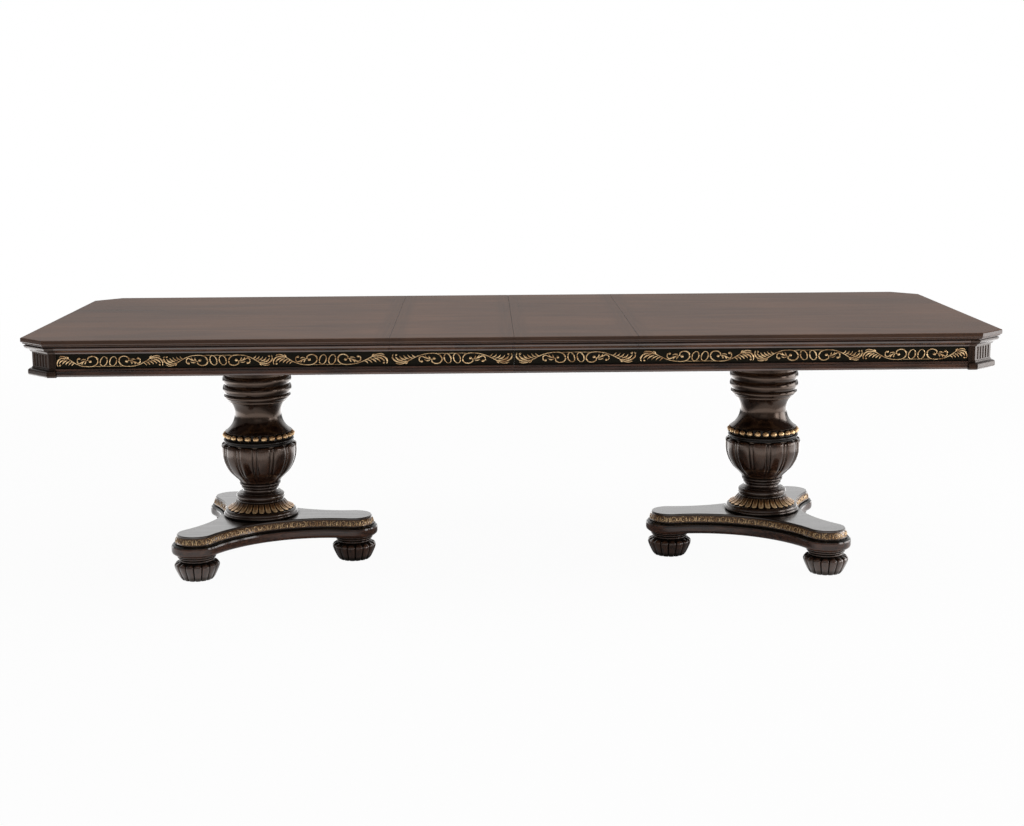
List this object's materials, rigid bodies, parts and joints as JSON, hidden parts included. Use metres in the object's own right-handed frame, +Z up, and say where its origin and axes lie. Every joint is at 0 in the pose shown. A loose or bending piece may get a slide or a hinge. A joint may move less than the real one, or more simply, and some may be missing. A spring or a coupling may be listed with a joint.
{
  "type": "double pedestal dining table",
  "caption": "Long extending dining table: canted-corner top with loose leaves and a carved apron, on turned urn pedestals with lobed plinths and gadrooned bun feet.",
  "frame": {"origin": "on the floor, below the middle of the top", "axes": "+X along the length, -Y towards the pictured front, +Z up"},
  "size_m": [2.845, 1.118, 0.785],
  "materials": {
    "cherry_lacquer": "dark cherry stain under semi-gloss lacquer, black glaze in the recesses",
    "gilded_wood": "carved wood with antique gold over black",
    "plain_wood": "plain hardwood, thin matt sealer",
    "steel": "zinc-plated steel"
  },
  "bodies": {
    "left_half": {"left_back_apron": "cherry_lacquer", "left_bead_ring": "gilded_wood", "left_bearers": "plain_wood", "left_collar": "cherry_lacquer", "left_corner_posts": "cherry_lacquer", "left_end_apron": "cherry_lacquer", "left_foot_back": "cherry_lacquer", "left_foot_front": "cherry_lacquer", "left_foot_inner": "cherry_lacquer", "left_front_apron": "cherry_lacquer", "left_lock_pivots": "steel", "left_mounting_block": "plain_wood", "left_mounting_bolts": "steel", "left_plinth_base": "cherry_lacquer", "left_plinth_top": "gilded_wood", "left_slide_rails": "plain_wood", "left_stem": "cherry_lacquer", "left_tie_rod": "steel", "left_top_panel": "cherry_lacquer", "left_urn": "cherry_lacquer", "left_vase": "cherry_lacquer"},
    "right_half": {"right_back_apron": "cherry_lacquer", "right_bead_ring": "gilded_wood", "right_bearers": "plain_wood", "right_collar": "cherry_lacquer", "right_corner_posts": "cherry_lacquer", "right_end_apron": "cherry_lacquer", "right_foot_back": "cherry_lacquer", "right_foot_front": "cherry_lacquer", "right_foot_inner": "cherry_lacquer", "right_front_apron": "cherry_lacquer", "right_lock_pivots": "steel", "right_mounting_block": "plain_wood", "right_mounting_bolts": "steel", "right_plinth_base": "cherry_lacquer", "right_plinth_top": "gilded_wood", "right_slide_rails": "plain_wood", "right_stem": "cherry_lacquer", "right_tie_rod": "steel", "right_top_panel": "cherry_lacquer", "right_urn": "cherry_lacquer", "right_vase": "cherry_lacquer"},
    "inner_left": {"left_inner_slide": "plain_wood"},
    "inner_right": {"right_inner_slide": "plain_wood"},
    "leaf_left": {"leaf_left_back_apron": "cherry_lacquer", "leaf_left_battens": "plain_wood", "leaf_left_front_apron": "cherry_lacquer", "leaf_left_lock_fittings": "steel", "leaf_left_panel": "cherry_lacquer"},
    "leaf_right": {"leaf_right_back_apron": "cherry_lacquer", "leaf_right_battens": "plain_wood", "leaf_right_front_apron": "cherry_lacquer", "leaf_right_lock_studs": "steel", "leaf_right_panel": "cherry_lacquer"},
    "lock_lever_left_back": {"lock_lever_left_back": "steel"},
    "lock_lever_left_front": {"lock_lever_left_front": "steel"},
    "lock_lever_middle_back": {"lock_lever_middle_back": "steel"},
    "lock_lever_middle_front": {"lock_lever_middle_front": "steel"},
    "lock_lever_right_back": {"lock_lever_right_back": "steel"},
    "lock_lever_right_front": {"lock_lever_right_front": "steel"}
  },
  "joints": [
    {"name": "extension", "type": "slide", "parent": "left_half", "child": "right_half", "axis": [1, 0, 0], "range_m": [0, 0.06]},
    {"name": "inner_left_slide", "type": "slide", "parent": "left_half", "child": "inner_left", "axis": [1, 0, 0], "range_m": [0, 0.0205]},
    {"name": "inner_right_slide", "type": "slide", "parent": "left_half", "child": "inner_right", "axis": [1, 0, 0], "range_m": [0, 0.0405]},
    {"name": "leaf_left_lift", "type": "slide", "parent": "inner_left", "child": "leaf_left", "axis": [0, 0, 1], "range_m": [0, 0.3]},
    {"name": "leaf_right_lift", "type": "slide", "parent": "inner_right", "child": "leaf_right", "axis": [0, 0, 1], "range_m": [0, 0.3]},
    {"name": "lock_lever_left_front_swing", "type": "hinge", "parent": "left_half", "child": "lock_lever_left_front", "pos_m": [-0.3796, -0.42, 0.7545], "axis": [0, 0, -1], "range_deg": [0, 90]},
    {"name": "lock_lever_left_back_swing", "type": "hinge", "parent": "left_half", "child": "lock_lever_left_back", "pos_m": [-0.3796, 0.42, 0.7545], "axis": [0, 0, 1], "range_deg": [0, 90]},
    {"name": "lock_lever_middle_front_swing", "type": "hinge", "parent": "leaf_left", "child": "lock_lever_middle_front", "pos_m": [-0.024, -0.42, 0.7545], "axis": [0, 0, -1], "range_deg": [0, 90]},
    {"name": "lock_lever_middle_back_swing", "type": "hinge", "parent": "leaf_left", "child": "lock_lever_middle_back", "pos_m": [-0.024, 0.42, 0.7545], "axis": [0, 0, 1], "range_deg": [0, 90]},
    {"name": "lock_lever_right_front_swing", "type": "hinge", "parent": "right_half", "child": "lock_lever_right_front", "pos_m": [0.3796, -0.42, 0.7545], "axis": [0, 0, 1], "range_deg": [0, 90]},
    {"name": "lock_lever_right_back_swing", "type": "hinge", "parent": "right_half", "child": "lock_lever_right_back", "pos_m": [0.3796, 0.42, 0.7545], "axis": [0, 0, -1], "range_deg": [0, 90]}
  ],
  "couplings": [
    {"joint": "inner_left_slide", "follows": "extension", "ratio": 0.33333},
    {"joint": "inner_right_slide", "follows": "extension", "ratio": 0.66667}
  ]
}
